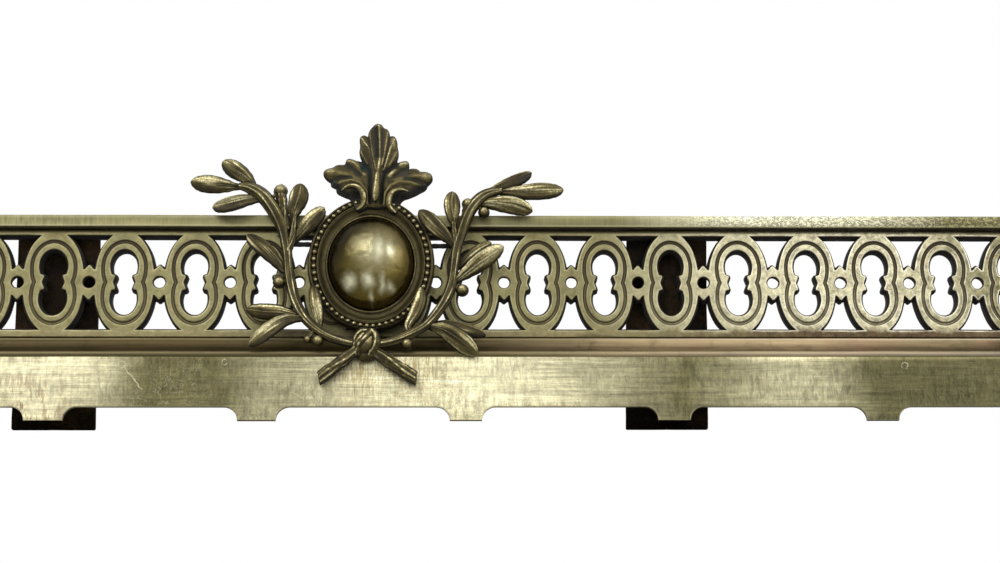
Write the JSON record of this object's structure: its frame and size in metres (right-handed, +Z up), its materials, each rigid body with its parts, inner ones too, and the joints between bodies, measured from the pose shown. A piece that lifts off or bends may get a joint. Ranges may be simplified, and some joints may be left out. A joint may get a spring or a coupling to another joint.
{
  "type": "fire fender",
  "caption": "Three-sided pierced metal fire fender with a coved base, footed plinth, iron back straps and a laurel and boss ornament on its front.",
  "frame": {"origin": "middle of the bounding box, on the floor", "axes": "+X along the front to the viewer's right, +Y from the front towards the fireplace, +Z up"},
  "size_m": [1.2426, 0.3328, 0.223],
  "materials": {
    "rail_brass": "moulded brass, fine brushed, dull",
    "gallery_brass": "cast brass, rubbed bright on the edges, dark in the cut lines",
    "moulding_brass": "brass moulding, brown tarnish in the cove",
    "plinth_brass": "rolled brass sheet, brushed upright, scratched",
    "strap_iron": "blackened iron with rust",
    "rivet_iron": "iron rivet heads",
    "ornament_bronze": "cast brass with dark patina, rubbed high points, green in the recesses",
    "boss_brass": "polished olive gold",
    "stud_brass": "turned brass, dull"
  },
  "bodies": {
    "root": {"acanthus_crest": "ornament_bronze", "angle_iron_left": "strap_iron", "angle_iron_right": "strap_iron", "base_moulding_front": "moulding_brass", "base_moulding_left": "moulding_brass", "base_moulding_right": "moulding_brass", "clamp_plate": "strap_iron", "domed_boss": "boss_brass", "gallery_front_1": "gallery_brass", "gallery_front_2": "gallery_brass", "gallery_front_3": "gallery_brass", "gallery_front_4": "gallery_brass", "gallery_left": "gallery_brass", "gallery_right": "gallery_brass", "laurel_branch_left": "ornament_bronze", "laurel_branch_right": "ornament_bronze", "nut_1": "stud_brass", "nut_2": "stud_brass", "nut_3": "stud_brass", "oval_frame": "ornament_bronze", "pearl_ring": "ornament_bronze", "plinth_front": "plinth_brass", "plinth_left": "plinth_brass", "plinth_right": "plinth_brass", "ribbon_knot": "ornament_bronze", "rivet_front_base_1": "rivet_iron", "rivet_front_base_2": "rivet_iron", "rivet_front_base_3": "rivet_iron", "rivet_front_base_4": "rivet_iron", "rivet_front_base_5": "rivet_iron", "rivet_front_base_6": "rivet_iron", "rivet_front_rail_1": "rivet_iron", "rivet_front_rail_2": "rivet_iron", "rivet_front_rail_3": "rivet_iron", "rivet_front_rail_4": "rivet_iron", "rivet_front_rail_5": "rivet_iron", "rivet_front_rail_6": "rivet_iron", "rivet_left_base_1": "rivet_iron", "rivet_left_base_2": "rivet_iron", "rivet_left_base_3": "rivet_iron", "rivet_left_rail_1": "rivet_iron", "rivet_left_rail_2": "rivet_iron", "rivet_left_rail_3": "rivet_iron", "rivet_right_base_1": "rivet_iron", "rivet_right_base_2": "rivet_iron", "rivet_right_base_3": "rivet_iron", "rivet_right_rail_1": "rivet_iron", "rivet_right_rail_2": "rivet_iron", "rivet_right_rail_3": "rivet_iron", "strap_front_1": "strap_iron", "strap_front_2": "strap_iron", "strap_left_1": "strap_iron", "strap_right_1": "strap_iron", "stud_1": "stud_brass", "stud_2": "stud_brass", "stud_3": "stud_brass", "top_rail_front": "rail_brass", "top_rail_left": "rail_brass", "top_rail_right": "rail_brass"}
  },
  "joints": []
}
